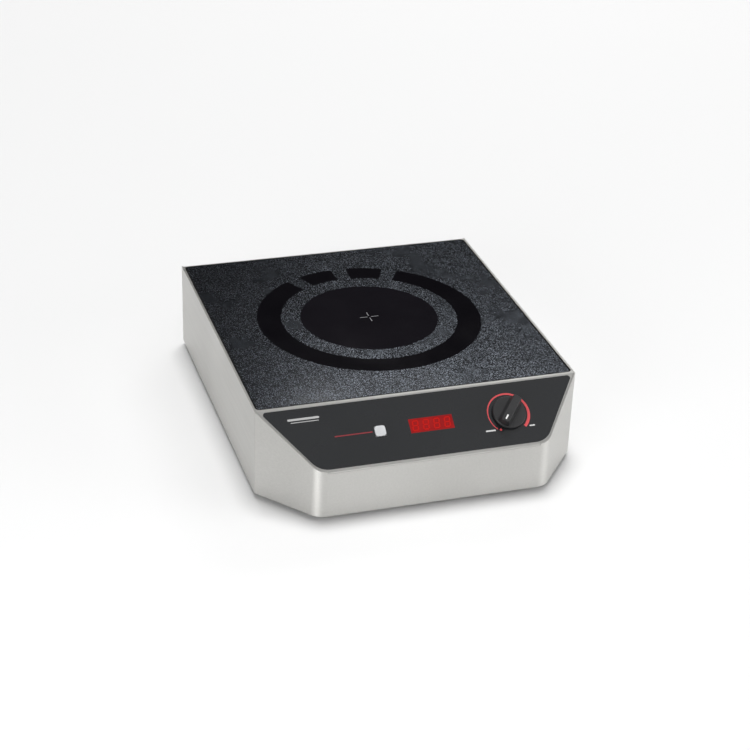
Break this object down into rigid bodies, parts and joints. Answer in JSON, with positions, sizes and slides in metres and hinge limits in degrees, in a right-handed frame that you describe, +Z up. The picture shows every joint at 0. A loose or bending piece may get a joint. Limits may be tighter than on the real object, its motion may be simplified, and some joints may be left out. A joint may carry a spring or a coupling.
{
  "type": "countertop induction cooker",
  "caption": "Countertop induction cooker: stainless casing, black ceramic glass cooking top, sloped control panel with power knob, key and lit digit display.",
  "frame": {"origin": "on the counter, under the middle of the object's box", "axes": "+Z up, front and control panel face -Y, +X to the cook's right"},
  "size_m": [0.356, 0.4278, 0.1038],
  "materials": {
    "stainless_shell": "satin, fine brushing",
    "stainless_deck": "satin, fine brushing",
    "painted_base": "galvanised sheet",
    "black_glass": "gloss, fine speckle",
    "black_silicone": "matte",
    "black_film": "semi-gloss printed film",
    "red_display": "translucent red, lit",
    "display_case": "matte",
    "white_key": "satin",
    "switch_plastic": "matte",
    "knob_plastic": "satin moulded",
    "pointer_white": "matte paint",
    "plated_steel": "zinc plated",
    "screw_steel": "zinc plated",
    "post_steel": "zinc plated",
    "foot_rubber": "matte",
    "gland_nylon": "satin",
    "board_green": "solder mask",
    "carrier_plastic": "glass-filled, matte",
    "coil_copper": "varnished litz wire",
    "mica_sheet": "mica sheet",
    "ferrite": "sintered",
    "sensor_silicone": "matte",
    "sink_aluminium": "extruded",
    "device_black": "moulded epoxy",
    "capacitor_film": "moulded box",
    "capacitor_can": "sleeved can",
    "choke_core": "varnished",
    "fuse_glass": "ceramic tube",
    "terminal_green": "moulded",
    "terminal_brass": "plain",
    "lead_red": "silicone sleeve",
    "lead_grey": "PVC",
    "lead_black": "PVC"
  },
  "bodies": {
    "chassis": {"body_wrap": "stainless_shell", "rear_panel": "stainless_shell", "top_deck": "stainless_deck", "base_plate": "painted_base", "glass_top": "black_glass", "glass_seal": "black_silicone", "panel_overlay": "black_film", "display_window": "red_display", "display_module": "display_case", "button_switch": "display_case", "lead_headers": "display_case", "potentiometer": "plated_steel", "pot_nut": "plated_steel", "foot_screws": "screw_steel", "base_screws": "screw_steel", "rear_screws": "screw_steel", "deck_post_screws": "screw_steel", "control_board_screws": "screw_steel", "coil_screws": "screw_steel", "fan_screws": "screw_steel", "power_board_screws": "screw_steel", "deck_posts": "post_steel", "control_board_studs": "post_steel", "power_board_posts": "post_steel", "rubber_feet": "foot_rubber", "coil_cushions": "foot_rubber", "fan_grommets": "foot_rubber", "cord_gland": "gland_nylon", "gland_nut": "gland_nylon", "control_board": "board_green", "power_board": "board_green", "coil_carrier": "carrier_plastic", "coil_posts": "carrier_plastic", "air_duct": "carrier_plastic", "fan_frame": "carrier_plastic", "induction_coil": "coil_copper", "coil_insulator": "mica_sheet", "ferrite_bars": "ferrite", "glass_sensor": "sensor_silicone", "heatsink": "sink_aluminium", "power_transistors": "device_black", "bridge_rectifier": "device_black", "buzzer": "device_black", "mains_relay": "device_black", "film_capacitors": "capacitor_film", "electrolytic_capacitors": "capacitor_can", "filter_choke": "choke_core", "standby_transformer": "choke_core", "line_fuse": "fuse_glass", "terminal_block": "terminal_green", "coil_terminals": "terminal_brass", "coil_leads": "lead_red", "control_leads": "lead_grey", "fan_leads": "lead_black"},
    "knob": {"control_knob": "knob_plastic", "knob_pointer": "pointer_white", "pot_shaft": "plated_steel"},
    "button": {"mode_button": "white_key", "switch_plunger": "switch_plastic"},
    "fan": {"fan_rotor": "carrier_plastic"}
  },
  "joints": [
    {"name": "knob_turn", "type": "hinge", "parent": "chassis", "child": "knob", "pos_m": [0.0906, -0.18186, 0.08226], "axis": [0, 0.578, -0.816], "range_deg": [0, 278]},
    {"name": "button_press", "type": "slide", "parent": "chassis", "child": "button", "axis": [0, 0.578, -0.816], "range_m": [0, 0.001], "stiffness_N_per_m": 900, "springref_m": -0.0003},
    {"name": "fan_spin", "type": "hinge", "parent": "chassis", "child": "fan", "pos_m": [-0.098, 0.112, 0.02], "axis": [0, 0, 1], "continuous": true}
  ]
}
